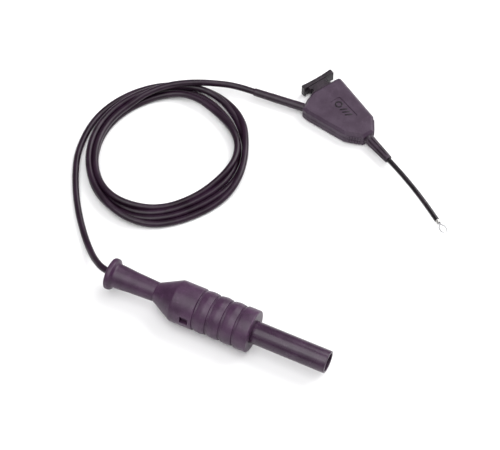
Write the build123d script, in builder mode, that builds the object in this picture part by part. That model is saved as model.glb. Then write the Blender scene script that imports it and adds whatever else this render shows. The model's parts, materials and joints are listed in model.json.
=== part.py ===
"""Test lead: a spring-loaded micro clip, a limp coiled lead and a shrouded 4 mm plug.

The clip lies flat with its underside on Z = 0.  The origin is the centre of that underside,
+X runs along the clip towards its jaws, and +Z is up.  All sizes are millimetres.
"""
import os
from math import atan2, cos, pi, radians, sin, tan

from build123d import *

# ---------------------------------------------------------------- driving dimensions
# clip housing
body_rear = -13.2            # rear edge, where the thumb bar's neck goes in
body_nose = 14.2             # flat nose that the collar comes out of
body_thick = 5.8
shell_wall = 1.0
rear_wall = 1.3
corner_round = 1.1
edge_bevel = 1.0             # bevel round the top and the underside
parting_bevel = 0.18
peg_radius = 0.6
peg_length = 1.2
plaque_length = 11.0         # the sunk name panel on the top
plaque_width = 4.7
plaque_depth = 0.25
plaque_corner = 0.8
plaque_side = -0.45          # its centre line, off the clip's middle
rib_count = 5                # grip ribs on each slanted side of the nose
rib_radius = 0.4
rib_first = 0.22             # shares of the slanted side's length
rib_step = 0.14

# plunger
travel = 3.0
neck_width = 8.2
shoulder_width = 9.8
plunger_thick = 3.2
plunger_front = -5.0
bar_length = 13.6
bar_side = 0.7               # the bar's middle, off the clip's centre line
bar_thick = 1.6
bar_height = 4.4
bar_gap = 3.2                # from the rear edge of the housing to the thumb bar
bar_hollow = 0.35            # how far the thumb bar's rear is dished
bar_flare = 0.25             # how far its front slants in at each end
bar_flare_width = 1.5
bar_round = 0.5
notch_back = 1.15            # notches in the neck's sides, from the thumb bar's front
notch_length = 1.1
notch_depth = 0.8
anchor_tail = 4.0            # the wire anchor's tail, inside the plunger
anchor_tail_radius = 0.8
anchor_flange_radius = 1.5
anchor_bore_depth = 3.0      # the drive wire's end, inside the anchor

# clearances
slide_gap = 0.2              # plunger in the housing
fit_gap = 0.05               # pieces that are pushed together and stay
touch_gap = 0.02             # pieces that bear on each other
wire_gap = 0.3               # the drive wire in the contact strip's hole

# spring, wire and contact
wire_radius = 0.28
spring_mean_radius = 1.35
spring_wire_radius = 0.2
spring_turns = 8
flange_thick = 0.6
strip_thick = 0.4
spring_seat = 4.6            # rear face of the contact strip, which the spring presses on
spring_channel = 4.0         # width of the space that the spring lies in
strip_inner_end = 1.95       # the contact strip, from beyond the wire to the conductor
strip_outer_end = -7.25
conductor_radius = 0.6
conductor_gap = 0.25
conductor_corner = 2.0

# collar, stem and jaws
collar_length = 11.8
collar_root_radius = 1.95
collar_tip_radius = 1.45
collar_shank_radius = 1.6
collar_flange_radius = 2.1
collar_flange_back = 9.6
collar_flange_thick = 1.0
collar_edge = 0.3
collar_edge_depth = 0.25
collar_groove_count = 8
collar_groove_radius = 0.3
collar_groove_back = 1.0     # plain length at the collar's root
collar_groove_front = 0.9    # and at its tip
stem_radius = 0.9
stem_bore = 0.5
stem_back_end = 7.0
stem_arc_length = 25.8
stem_end_straight = 5.0
stem_bend = 8.6              # degrees, towards the cord's side
ferrule_radius = 0.74
ferrule_bore = 0.6
ferrule_inside = 4.7
ferrule_outside = 1.3
crimp_radius = 0.5
crimp_inside = 4.4           # its rear face, behind the stem's front end
crimp_inset = 0.05           # its front face, behind the ferrule's mouth
jaw_wire_radius = 0.22
jaw_side = 0.25              # each jaw wire's root, off the tip's centre line
jaw_gap = 0.15               # between the crimp's face and the jaw roots
jaw_swell = 1.15             # each jaw wire's furthest distance from the centre line
jaw_length = 4.4
jaw_tip_side = 0.62
jaw_straight = 0.7           # along the jaws: where they begin to spread,
jaw_spread_end = 1.9         # are furthest apart,
jaw_close_start = 3.2        # and close in again
jaw_corner = 0.55

# cord
cord_radius = 1.2
cord_entry_heading = 212.0   # degrees from +X, the way the cord leaves the housing
boot_length = 20.0
boot_root_wall = 0.4
boot_tip_wall = 0.25
boot_waist = 0.6             # share of the boot's length with nearly its root's radius
boot_taper = 0.04
boot_edge = 0.4
boot_edge_depth = 0.12
boot_flange_step = 1.6       # from the slanted face to the boot's flange
boot_flange_reach = 0.5      # how far the flange stands out of the boot
boot_flange_thick = 0.8
cord_inside = 3.6            # the cord's jacket, inside the housing

# plug
plug_lip = (9.97, -108.97)    # centre of the sleeve's flared lip, on the table plan
plug_heading = 28.6          # degrees from +X
grip_radius = 7.4
lip_radius = 5.6
lip_width = 1.9
sleeve_big_radius = 4.35
sleeve_neck_radius = 3.45
sleeve_length = 17.9
spigot_radius = 3.0
spigot_length = 6.0
trumpet_radius = 4.2
trumpet_throat = 2.3
trumpet_neck = 2.2           # from the lip to the throat
trumpet_depth = 5.0
lip_round = 0.5
lip_fall = 2.2               # from the lip's back to the sleeve's own radius
cone_length = 7.8
grip_length = 28.6
grip_round = 0.5
groove_count = 4
groove_pitch = 4.9
groove_width = 0.8
groove_depth = 0.65
groove_slant = 0.35
last_ring = 5.1
carrier_radius = 3.6         # the insulator that holds the pin inside the grip
carrier_nose = 3.0           # its nose, pushed into the shroud
carrier_bore = 1.6
shroud_radius = 3.95
shroud_bore = 3.2
shroud_length = 27.1
shroud_edge = 0.3
shroud_edge_depth = 0.25
pin_radius = 2.0
pin_recess = 1.9             # the pin's tip, back from the shroud's mouth
pin_tip_taper = 1.0
pin_tip_narrow = 0.8
pin_waist_radius = 1.45      # where the spring leaves sit
pin_root_length = 4.5        # full radius behind the waist
pin_front_length = 6.6       # and in front of it
barrel_radius = 1.9          # the pin's rear end, crimped on the conductor
barrel_back = 3.0
barrel_length = 8.0
barrel_bore_depth = 6.0
conductor_bare = 0.6         # the conductor shows between jacket and barrel
leaf_count = 8
leaf_thick = 0.14
leaf_swell = 0.42
leaf_end = 0.8
leaf_slot = 0.4
window_length = 3.0          # the latch window in the grip
window_width = 2.6
window_back = 4.3            # from the cone's end
window_rise = 11.0           # degrees above level
latch_inset = 1.2            # the latch tooth's face, below the grip's surface

# coil of the lead
coil_centre = (-24.5, -62.4)
coil_radius = 27.3
coil_waves = ((2, 1.6, 207.5), (3, 0.44, 134.0), (4, 0.33, 125.0))
strand_pitch = 2.45
coil_height = 4.6

# ---------------------------------------------------------------- worked-out places
middle = body_thick / 2
cavity_half = shoulder_width / 2 + slide_gap
cavity_low = middle - plunger_thick / 2 - slide_gap
cavity_high = middle + plunger_thick / 2 + slide_gap
bar_front = body_rear - bar_gap
bar_back = bar_front - bar_thick
shoulder_back = body_rear + rear_wall + fit_gap
cavity_front = plunger_front + travel + slide_gap
flange_front = plunger_front + flange_thick
collar_end = body_nose + collar_length
bend_radius = stem_arc_length / radians(stem_bend)

boot_root_radius = cord_radius + boot_root_wall
boot_tip_radius = cord_radius + boot_tip_wall
boot_flange_radius = boot_root_radius + boot_flange_reach
cord_face = (-10.6, -10.2)   # centre of the housing's slanted face, where the cord goes in
cord_out = Vector(cos(radians(cord_entry_heading)), sin(radians(cord_entry_heading)), 0)
cord_entry = Vector(cord_face[0], cord_face[1], middle)

plug_out = Vector(cos(radians(plug_heading)), sin(radians(plug_heading)), 0)
plug_side = Vector(sin(radians(plug_heading)), -cos(radians(plug_heading)), 0)
plug_origin = Vector(plug_lip[0], plug_lip[1], grip_radius)
plug_section = Plane(origin=plug_origin, x_dir=plug_out, z_dir=plug_side)
plug_axis = Axis(plug_origin, plug_out)
neck_at = sleeve_length
cone_end = neck_at + cone_length
grip_end = cone_end + grip_length
carrier_start = cone_end + fit_gap
carrier_face = grip_end + carrier_nose
shroud_mouth = grip_end + shroud_length
pin_tip = shroud_mouth - pin_recess
barrel_start = carrier_start + barrel_back
barrel_end = barrel_start + barrel_length


def stem_point(back):
    """A point on the tip's straight end, `back` mm behind the stem's front end."""
    turn = radians(stem_bend)
    along = stem_end_straight - back
    x = collar_end + bend_radius * sin(turn) + along * cos(turn)
    y = -bend_radius * (1 - cos(turn)) - along * sin(turn)
    return Vector(x, y, middle)


tip_out = Vector(cos(radians(stem_bend)), -sin(radians(stem_bend)), 0)
tip_left = Vector(sin(radians(stem_bend)), cos(radians(stem_bend)), 0)


def tip_point(ahead, left):
    """A point `ahead` mm in front of the stem's end and `left` mm off its centre line."""
    return stem_point(0) + tip_out * ahead + tip_left * left


def plug_point(along, out=0.0):
    """A point on the plug's axis, `along` mm from the lip, or `out` mm above it."""
    return plug_origin + plug_out * along + Vector(0, 0, out)


def round_run(path, outer, inner=0.0):
    """Sweep a round section, solid or hollow, along a path."""
    with BuildSketch(Plane(origin=path @ 0, z_dir=path % 0)) as section:
        Circle(outer)
        if inner:
            Circle(inner, mode=Mode.SUBTRACT)
    sweep(section.sketch, path=path)


def turned(points):
    """Spin a closed profile of (along, radius) points round the plug's axis."""
    with BuildSketch(plug_section) as profile:
        with BuildLine():
            Polyline(*points, close=True)
        make_face()
    revolve(profile.sketch, axis=plug_axis)


# ---------------------------------------------------------------- clip housing
rear_right = (body_rear, 7.9)
right_shoulder = (8.6, 6.6)
nose_right = (body_nose, 2.3)
nose_left = (body_nose, -2.3)
left_shoulder = (8.9, -7.0)
wedge_corner = (-7.0, -12.1)
cord_face_low = (-9.35, -12.2)
cord_face_high = (-11.85, -8.2)
rear_left = (body_rear, -4.7)
housing_corners = (
    rear_right, right_shoulder, nose_right, nose_left, left_shoulder,
    wedge_corner, cord_face_low, cord_face_high, rear_left,
)
peg_places = ((7.2, 4.4), (7.6, -4.5), (-9.6, 6.5), (-2.2, 6.4))


with BuildSketch() as housing_outline:
    with BuildLine():
        Polyline(*housing_corners, close=True)
    make_face()
    for corner in (rear_right, right_shoulder, left_shoulder, wedge_corner):
        fillet(housing_outline.vertices().sort_by_distance((*corner, 0))[0], corner_round)


def rib_places():
    """Centres of the upright ribs along both slanted sides of the nose."""
    places = []
    for shoulder, nose in ((left_shoulder, nose_left), (right_shoulder, nose_right)):
        for step in range(rib_count):
            share = rib_first + rib_step * step
            x = shoulder[0] + share * (nose[0] - shoulder[0])
            y = shoulder[1] + share * (nose[1] - shoulder[1])
            places.append((x, y))
    return places


# the space inside the housing, cut from both shells
conductor_bend = Vector(-4.6, -6.6, middle)
conductor_end = Vector(spring_seat, strip_outer_end + conductor_radius + 0.2, middle)
cord_inner_end = cord_entry - cord_out * cord_inside
channel_half = conductor_radius + conductor_gap
strip_middle = (strip_inner_end + strip_outer_end) / 2
strip_width = strip_inner_end - strip_outer_end
through = 1.0                # how far a cut runs past the face that it opens

with BuildPart() as housing_hollow:
    with BuildSketch(Plane.XY.offset(cavity_low)):
        with Locations(((shoulder_back + cavity_front) / 2, 0)):
            Rectangle(cavity_front - shoulder_back, 2 * cavity_half)
        with Locations(((body_rear + shoulder_back - through) / 2, 0)):
            Rectangle(shoulder_back - body_rear + through + fit_gap, neck_width + 2 * slide_gap)
        with Locations(((cavity_front + spring_seat) / 2, 0)):
            Rectangle(spring_seat - cavity_front + 2 * fit_gap, spring_channel)
        with Locations((spring_seat + (strip_thick + fit_gap) / 2, strip_middle)):
            Rectangle(strip_thick + fit_gap, strip_width + 2 * fit_gap)
    extrude(amount=cavity_high - cavity_low)
    with BuildSketch(Plane.XY.offset(middle - channel_half)):
        with BuildLine() as channel_line:
            Polyline(
                (cord_inner_end.X, cord_inner_end.Y),
                (conductor_bend.X, conductor_bend.Y),
                (conductor_end.X, conductor_end.Y),
            )
        trace(channel_line.line, 2 * channel_half)
    extrude(amount=2 * channel_half)
    with BuildSketch(Plane(origin=(spring_seat, 0, middle), z_dir=(1, 0, 0))):
        Circle(wire_radius + wire_gap)
    extrude(amount=stem_back_end - spring_seat)
    with BuildSketch(Plane(origin=(stem_back_end, 0, middle), z_dir=(1, 0, 0))):
        Circle(stem_radius + fit_gap)
    extrude(amount=body_nose - stem_back_end)
    with BuildSketch(Plane(origin=(collar_flange_back - fit_gap, 0, middle), z_dir=(1, 0, 0))):
        Circle(collar_flange_radius + fit_gap)
    extrude(amount=collar_flange_thick + 2 * fit_gap)
    with BuildSketch(Plane(origin=(collar_flange_back, 0, middle), z_dir=(1, 0, 0))):
        Circle(collar_shank_radius + fit_gap)
    extrude(amount=body_nose - collar_flange_back + through)
    with BuildSketch(Plane(origin=cord_entry + cord_out * through, z_dir=-cord_out)):
        Circle(boot_root_radius + fit_gap)
    extrude(amount=boot_flange_step + through + fit_gap)
    with BuildSketch(Plane(origin=cord_entry - cord_out * boot_flange_step, z_dir=-cord_out)):
        Circle(boot_flange_radius + fit_gap)
    extrude(amount=boot_flange_thick + fit_gap)
    with BuildSketch(Plane(origin=cord_entry - cord_out * boot_flange_step, z_dir=-cord_out)):
        Circle(cord_radius + fit_gap)
    extrude(amount=cord_inside - boot_flange_step + fit_gap)

with BuildPart() as clip_bottom_shell:
    with BuildSketch(Plane.XY):
        add(housing_outline.sketch)
    extrude(amount=middle)
    chamfer(clip_bottom_shell.faces().sort_by(Axis.Z)[0].edges(), edge_bevel * 0.7)
    chamfer(clip_bottom_shell.faces().sort_by(Axis.Z)[-1].edges(), parting_bevel)
    with BuildSketch(Plane.XY.offset(edge_bevel)):
        with Locations(*rib_places()):
            Circle(rib_radius)
    extrude(amount=middle - edge_bevel - parting_bevel)
    add(housing_hollow.part, mode=Mode.SUBTRACT)
    with BuildSketch(Plane.XY.offset(middle)):
        with Locations(*peg_places):
            Circle(peg_radius + fit_gap)
    extrude(amount=-(peg_length + 2 * fit_gap), mode=Mode.SUBTRACT)
clip_bottom_shell.part.label = "clip_bottom_shell"

with BuildPart() as clip_top_shell:
    with BuildSketch(Plane.XY.offset(middle)):
        add(housing_outline.sketch)
    extrude(amount=middle)
    chamfer(clip_top_shell.faces().sort_by(Axis.Z)[-1].edges(), edge_bevel)
    chamfer(clip_top_shell.faces().sort_by(Axis.Z)[0].edges(), parting_bevel)
    with BuildSketch(Plane.XY.offset(middle + parting_bevel)):
        with Locations(*rib_places()):
            Circle(rib_radius)
    extrude(amount=middle - edge_bevel - 2 * parting_bevel)
    with BuildSketch(Plane.XY.offset(body_thick)):
        with Locations((0, plaque_side)):
            RectangleRounded(plaque_length, plaque_width, plaque_corner)
    extrude(amount=-plaque_depth, mode=Mode.SUBTRACT)
    add(housing_hollow.part, mode=Mode.SUBTRACT)
    with BuildSketch(Plane.XY.offset(middle)):
        with Locations(*peg_places):
            Circle(peg_radius)
    extrude(amount=-peg_length)
clip_top_shell.part.label = "clip_top_shell"

# ---------------------------------------------------------------- plunger and its spring
notch_middle = bar_front + notch_back + notch_length / 2
with BuildPart() as plunger:
    with BuildSketch(Plane.XY.offset(middle - plunger_thick / 2)):
        with Locations(((bar_front + plunger_front) / 2, 0)):
            Rectangle(plunger_front - bar_front, neck_width)
        with Locations(((shoulder_back + fit_gap + plunger_front) / 2, 0)):
            Rectangle(plunger_front - shoulder_back - fit_gap, shoulder_width)
        with Locations((notch_middle, neck_width / 2), (notch_middle, -neck_width / 2)):
            Rectangle(notch_length, 2 * notch_depth, mode=Mode.SUBTRACT)
    extrude(amount=plunger_thick)
    with BuildSketch(Plane.XY.offset(middle - bar_height / 2)):
        with BuildLine():
            low = bar_side - bar_length / 2
            high = bar_side + bar_length / 2
            horn = bar_back - bar_hollow
            ThreePointArc((horn, high), (bar_back, bar_side), (horn, low))
            Polyline(
                (horn, low), (bar_front + bar_flare, low), (bar_front, low + bar_flare_width),
                (bar_front, high - bar_flare_width), (bar_front + bar_flare, high), (horn, high),
            )
        make_face()
    extrude(amount=bar_height)
    fillet(plunger.edges().filter_by(Axis.Z).group_by(Axis.X)[0], bar_round)
    with BuildSketch(Plane(origin=(plunger_front, 0, middle), z_dir=(-1, 0, 0))):
        Circle(anchor_tail_radius + fit_gap)
    extrude(amount=anchor_tail + 2 * fit_gap, mode=Mode.SUBTRACT)
plunger.part.label = "plunger"

with BuildPart() as wire_anchor:
    with BuildSketch(Plane(origin=(plunger_front - anchor_tail, 0, middle), z_dir=(1, 0, 0))):
        Circle(anchor_tail_radius)
    extrude(amount=anchor_tail)
    with BuildSketch(Plane(origin=(plunger_front, 0, middle), z_dir=(1, 0, 0))):
        Circle(anchor_flange_radius)
    extrude(amount=flange_thick)
    with BuildSketch(Plane(origin=(flange_front, 0, middle), z_dir=(-1, 0, 0))):
        Circle(wire_radius + touch_gap)
    extrude(amount=anchor_bore_depth, mode=Mode.SUBTRACT)
wire_anchor.part.label = "wire_anchor"

spring_length = spring_seat - flange_front - 2 * (spring_wire_radius + touch_gap)
with BuildPart() as return_spring:
    with BuildLine() as coil_line:
        Helix(
            pitch=spring_length / spring_turns,
            height=spring_length,
            radius=spring_mean_radius,
            center=(flange_front + spring_wire_radius + touch_gap, 0, middle),
            direction=(1, 0, 0),
        )
    with BuildSketch(Plane(origin=coil_line.line @ 0, z_dir=coil_line.line % 0)):
        Circle(spring_wire_radius)
    sweep(path=coil_line.line, is_frenet=True)
return_spring.part.label = "return_spring"

with BuildPart() as contact_strip:
    with BuildSketch(Plane.XY.offset(cavity_low + fit_gap)):
        with Locations((spring_seat + strip_thick / 2, strip_middle)):
            Rectangle(strip_thick, strip_width)
    extrude(amount=cavity_high - cavity_low - 2 * fit_gap)
    with BuildSketch(Plane(origin=(spring_seat - through, 0, middle), z_dir=(1, 0, 0))):
        Circle(wire_radius + wire_gap)
    extrude(amount=strip_thick + 2 * through, mode=Mode.SUBTRACT)
contact_strip.part.label = "contact_strip"

# ---------------------------------------------------------------- stem, wire and jaws
with BuildPart() as drive_wire:
    with BuildLine() as wire_line:
        wire_back = Line((flange_front - anchor_bore_depth, 0, middle), (collar_end, 0, middle))
        wire_bow = JernArc(
            start=wire_back @ 1, tangent=(1, 0, 0), radius=bend_radius, arc_size=-stem_bend
        )
        Line(wire_bow @ 1, stem_point(crimp_inside))
    round_run(wire_line.wire(), wire_radius)
drive_wire.part.label = "drive_wire"

with BuildPart() as stem_tube:
    with BuildLine() as stem_line:
        stem_back = Line((stem_back_end, 0, middle), (collar_end, 0, middle))
        stem_bow = JernArc(
            start=stem_back @ 1, tangent=(1, 0, 0), radius=bend_radius, arc_size=-stem_bend
        )
        Line(stem_bow @ 1, stem_point(0))
    round_run(stem_line.wire(), stem_radius, stem_bore)
    with BuildSketch(Plane(origin=stem_point(0), z_dir=-tip_out)):
        Circle(ferrule_radius + touch_gap)
    extrude(amount=ferrule_inside, mode=Mode.SUBTRACT)
stem_tube.part.label = "stem_tube"

with BuildPart() as tip_ferrule:
    with BuildSketch(Plane(origin=stem_point(ferrule_inside), z_dir=tip_out)):
        Circle(ferrule_radius)
        Circle(ferrule_bore, mode=Mode.SUBTRACT)
    extrude(amount=ferrule_inside + ferrule_outside)
tip_ferrule.part.label = "tip_ferrule"

with BuildPart() as jaw_crimp:
    with BuildSketch(Plane(origin=stem_point(crimp_inside), z_dir=tip_out)):
        Circle(crimp_radius)
    extrude(amount=crimp_inside + ferrule_outside - crimp_inset)
jaw_crimp.part.label = "jaw_crimp"

jaw_root = ferrule_outside - crimp_inset + jaw_gap


def jaw_points(side):
    """One jaw wire's corners, on the side given by 1 or -1."""
    reach = (
        (0, jaw_side), (jaw_straight, jaw_side), (jaw_spread_end, jaw_swell),
        (jaw_close_start, jaw_swell), (jaw_length, jaw_tip_side),
    )
    return [tip_point(jaw_root + ahead, side * out) for ahead, out in reach]


with BuildPart() as jaw_left:
    with BuildLine() as jaw_left_line:
        FilletPolyline(*jaw_points(1), radius=jaw_corner)
    round_run(jaw_left_line.wire(), jaw_wire_radius)
jaw_left.part.label = "jaw_left"

with BuildPart() as jaw_right:
    with BuildLine() as jaw_right_line:
        FilletPolyline(*jaw_points(-1), radius=jaw_corner)
    round_run(jaw_right_line.wire(), jaw_wire_radius)
jaw_right.part.label = "jaw_right"

# the collar is a rubber sleeve over the stem, with grooves along it
with BuildPart() as nose_collar:
    with BuildSketch(Plane.XZ):
        with BuildLine():
            flange_front_x = collar_flange_back + collar_flange_thick
            Polyline(
                (collar_flange_back, middle + stem_radius + fit_gap),
                (collar_flange_back, middle + collar_flange_radius),
                (flange_front_x, middle + collar_flange_radius),
                (flange_front_x, middle + collar_shank_radius),
                (body_nose, middle + collar_shank_radius),
                (body_nose, middle + collar_root_radius),
                (collar_end - collar_edge, middle + collar_tip_radius),
                (collar_end, middle + collar_tip_radius - collar_edge_depth),
                (collar_end, middle + stem_radius + fit_gap),
                close=True,
            )
        make_face()
    revolve(axis=Axis((0, 0, middle), (1, 0, 0)))
    slope = atan2(collar_root_radius - collar_tip_radius, collar_length)
    for turn in range(collar_groove_count):
        around = 2 * pi * (turn + 0.5) / collar_groove_count
        out = Vector(0, cos(around), sin(around))
        start = Vector(body_nose + collar_groove_back, 0, middle) + out * collar_root_radius
        with BuildSketch(Plane(origin=start, z_dir=Vector(cos(slope), 0, 0) - out * sin(slope))):
            Circle(collar_groove_radius)
        extrude(amount=collar_length - collar_groove_back - collar_groove_front, mode=Mode.SUBTRACT)
nose_collar.part.label = "nose_collar"

# ---------------------------------------------------------------- cord where it enters the clip
boot_end = cord_entry + cord_out * boot_length
with BuildPart() as cord_boot:
    boot_plane = Plane(origin=cord_entry, x_dir=cord_out, z_dir=cord_out.cross(Vector(0, 0, 1)))
    with BuildSketch(boot_plane):
        with BuildLine():
            bore = cord_radius + fit_gap
            Polyline(
                (-boot_flange_step - boot_flange_thick, bore),
                (-boot_flange_step - boot_flange_thick, boot_flange_radius),
                (-boot_flange_step, boot_flange_radius),
                (-boot_flange_step, boot_root_radius),
                (boot_length * boot_waist, boot_root_radius - boot_taper),
                (boot_length - boot_edge, boot_tip_radius),
                (boot_length, boot_tip_radius - boot_edge_depth),
                (boot_length, bore),
                close=True,
            )
        make_face()
    revolve(axis=Axis(cord_entry, cord_out))
cord_boot.part.label = "cord_boot"

with BuildPart() as clip_cord_end:
    with BuildSketch(Plane(origin=cord_inner_end, z_dir=cord_out)):
        Circle(cord_radius)
    extrude(amount=cord_inside + boot_length)
clip_cord_end.part.label = "clip_cord_end"

with BuildPart() as clip_conductor:
    with BuildLine() as conductor_line:
        FilletPolyline(cord_inner_end, conductor_bend, conductor_end, radius=conductor_corner)
    round_run(conductor_line.wire(), conductor_radius)
clip_conductor.part.label = "clip_conductor"

# ---------------------------------------------------------------- the lead
# from the boot, rising over the coil and dropping onto its inner lane
clip_route = [
    boot_end,
    Vector(-33.2, -24.4, 3.3),
    Vector(-38.3, -30.9, 4.6),
    Vector(-43.0, -38.4, 5.9),
    Vector(-47.0, -46.6, 6.1),
    Vector(-49.2, -54.8, 4.9),
]
# from the coil's outer lane, along the table and up to the plug
plug_route = [
    Vector(-44.2, -87.7, cord_radius),
    Vector(-37.4, -93.2, cord_radius),
    Vector(-29.3, -98.3, cord_radius),
    Vector(-20.6, -102.6, cord_radius),
    Vector(-11.9, -105.9, cord_radius + 0.1),
    Vector(-5.2, -107.9, 2.1),
    Vector(1.2, -109.5, 4.6),
    plug_point(-2.0),
    plug_point(trumpet_depth),
]


def coil_mean(angle):
    """Radius of the middle of the coil's bundle at an angle in degrees."""
    return coil_radius + sum(a * cos(radians(n * angle - at)) for n, a, at in coil_waves)


def stretch(angle, centre, half):
    """1 at the centre of a stretch of the coil, falling smoothly to 0 at its ends."""
    off = abs((angle - centre + 180) % 360 - 180) / half
    return 0.0 if off >= 1 else cos(off * pi / 2) ** 2


def coil_flatness(angle):
    """1 where the four strands lie side by side, 0 where they lie two on two."""
    return min(1.0, 1.6 * stretch(angle, 342, 75) + 0.8 * stretch(angle, 100, 42))


def coil_half_width(angle):
    """Half the width of the bundle."""
    return strand_pitch * (0.5 + coil_flatness(angle)) + cord_radius


def fillet_radii(points):
    """Each corner's radius, as large as its two runs allow."""
    radii = []
    for before, at, after in zip(points, points[1:], points[2:]):
        turn = (at - before).get_angle(after - at)
        run = min((at - before).length, (after - at).length)
        radii.append(0.45 * run / tan(radians(turn) / 2))
    return radii


def lead(points):
    """A tube of the cord's section along straight runs and tangent arcs."""
    radii = fillet_radii(points)
    print("lead radii:", [round(r, 1) for r in radii])
    with BuildLine() as line:
        FilletPolyline(*points, radius=radii)
    route = line.wire()
    round_run(route, cord_radius)
    print("length:", round(route.length, 1))
    print("volume by length:", round(pi * cord_radius**2 * route.length, 1))


with BuildPart() as cord_coil:
    with BuildSketch(Plane.XY):
        outer = []
        inner = []
        for step in range(24):
            angle = 15.0 * step
            ray = Vector(cos(radians(angle)), sin(radians(angle)), 0)
            half = coil_half_width(angle)
            lane = strand_pitch * min(1.0, 1.5 * stretch(angle, 178, 60))
            centre = Vector(coil_centre[0], coil_centre[1], 0)
            outer.append(centre + ray * (coil_mean(angle) + half + lane))
            inner.append(centre + ray * (coil_mean(angle) - half))
        with BuildLine():
            Spline(*outer, periodic=True)
        make_face()
        with BuildLine():
            Spline(*inner, periodic=True)
        make_face(mode=Mode.SUBTRACT)
    extrude(amount=coil_height)
cord_coil.part.label = "cord_coil"


def coil_point(angle, offset, height):
    """A point in the coil's bundle: degrees, mm outwards from its middle, and height."""
    ray = Vector(cos(radians(angle)), sin(radians(angle)), 0)
    centre = Vector(coil_centre[0], coil_centre[1], height)
    return centre + ray * (coil_mean(angle) + offset)


lane_out = 1.5 * strand_pitch
with BuildPart() as cord_clip_lead:
    lead(clip_route)
cord_clip_lead.part.label = "cord_clip_lead"

with BuildPart() as cord_plug_lead:
    lead([coil_point(200, lane_out, cord_radius), coil_point(216, lane_out, cord_radius)] + plug_route)
cord_plug_lead.part.label = "cord_plug_lead"

# ---------------------------------------------------------------- plug
with BuildPart() as strain_relief:
    bore = cord_radius + fit_gap
    turned([
        (0, trumpet_radius), (0, lip_radius - lip_round), (lip_round, lip_radius),
        (lip_width - lip_round, lip_radius),
        (lip_width + lip_round, sleeve_big_radius + lip_round),
        (lip_width + lip_fall, sleeve_big_radius),
        (neck_at, sleeve_neck_radius), (neck_at, spigot_radius),
        (neck_at + spigot_length, spigot_radius), (neck_at + spigot_length, bore),
        (trumpet_depth, bore), (trumpet_neck, trumpet_throat),
    ])
strain_relief.part.label = "strain_relief"

window_at = cone_end + window_back + window_length / 2
window_out = plug_side * cos(radians(window_rise)) + Vector(0, 0, sin(radians(window_rise)))
groove_first = grip_end - last_ring - (groove_count - 1) * groove_pitch - groove_width / 2
with BuildPart() as plug_grip:
    turned([
        (neck_at, spigot_radius + fit_gap), (neck_at, sleeve_neck_radius), (cone_end, grip_radius),
        (grip_end, grip_radius), (grip_end, carrier_radius + fit_gap),
        (cone_end, carrier_radius + fit_gap), (cone_end, spigot_radius + fit_gap),
    ])
    rims = plug_grip.edges().filter_by(GeomType.CIRCLE).group_by(lambda edge: edge.radius)[-1]
    fillet(rims, grip_round)
    for ring in range(groove_count):
        at = groove_first + ring * groove_pitch
        low = grip_radius - groove_depth
        clear = grip_radius + groove_slant
        with BuildSketch(plug_section):
            with BuildLine():
                Polyline(
                    (at - groove_slant, clear), (at, low), (at + groove_width, low),
                    (at + groove_width + groove_slant, clear), close=True,
                )
            make_face()
        revolve(axis=plug_axis, mode=Mode.SUBTRACT)
    with BuildSketch(Plane(origin=plug_point(window_at), x_dir=plug_out, z_dir=window_out)):
        Rectangle(window_length, window_width)
    extrude(amount=grip_radius + through, mode=Mode.SUBTRACT)
plug_grip.part.label = "plug_grip"

# the insulator inside the grip: the pin goes through it, its nose carries the shroud, and
# its latch tooth shows in the grip's window
with BuildPart() as pin_carrier:
    turned([
        (carrier_start, barrel_radius + fit_gap), (carrier_start, carrier_radius),
        (grip_end - fit_gap, carrier_radius), (grip_end - fit_gap, shroud_bore - fit_gap),
        (carrier_face, shroud_bore - fit_gap), (carrier_face, carrier_bore),
        (barrel_end, carrier_bore), (barrel_end, barrel_radius + fit_gap),
    ])
    tooth_foot = carrier_radius - 2 * latch_inset / 3
    tooth_face = grip_radius - latch_inset
    tooth_plane = Plane(
        origin=plug_point(window_at) + window_out * tooth_foot, x_dir=plug_out, z_dir=window_out
    )
    with BuildSketch(tooth_plane):
        Rectangle(window_length - 2 * slide_gap, window_width - 2 * slide_gap)
    extrude(amount=tooth_face - tooth_foot)
pin_carrier.part.label = "pin_carrier"

with BuildPart() as plug_shroud:
    turned([
        (grip_end, shroud_bore), (grip_end, shroud_radius),
        (shroud_mouth - shroud_edge, shroud_radius),
        (shroud_mouth, shroud_radius - shroud_edge_depth), (shroud_mouth, shroud_bore),
    ])
plug_shroud.part.label = "plug_shroud"

pin_root_end = carrier_face + pin_root_length
waist_end = pin_tip - pin_front_length
with BuildPart() as contact_pin:
    barrel_bore = conductor_radius + fit_gap
    stalk_radius = carrier_bore - fit_gap
    turned([
        (barrel_start, barrel_bore), (barrel_start, barrel_radius),
        (barrel_end - fit_gap, barrel_radius), (barrel_end - fit_gap, stalk_radius),
        (carrier_face, stalk_radius), (carrier_face, pin_radius),
        (pin_root_end, pin_radius), (pin_root_end, pin_waist_radius),
        (waist_end, pin_waist_radius), (waist_end, pin_radius),
        (pin_tip - pin_tip_taper, pin_radius), (pin_tip, pin_radius - pin_tip_narrow),
        (pin_tip, 0), (barrel_start + barrel_bore_depth, 0),
        (barrel_start + barrel_bore_depth, barrel_bore),
    ])
contact_pin.part.label = "contact_pin"

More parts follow.
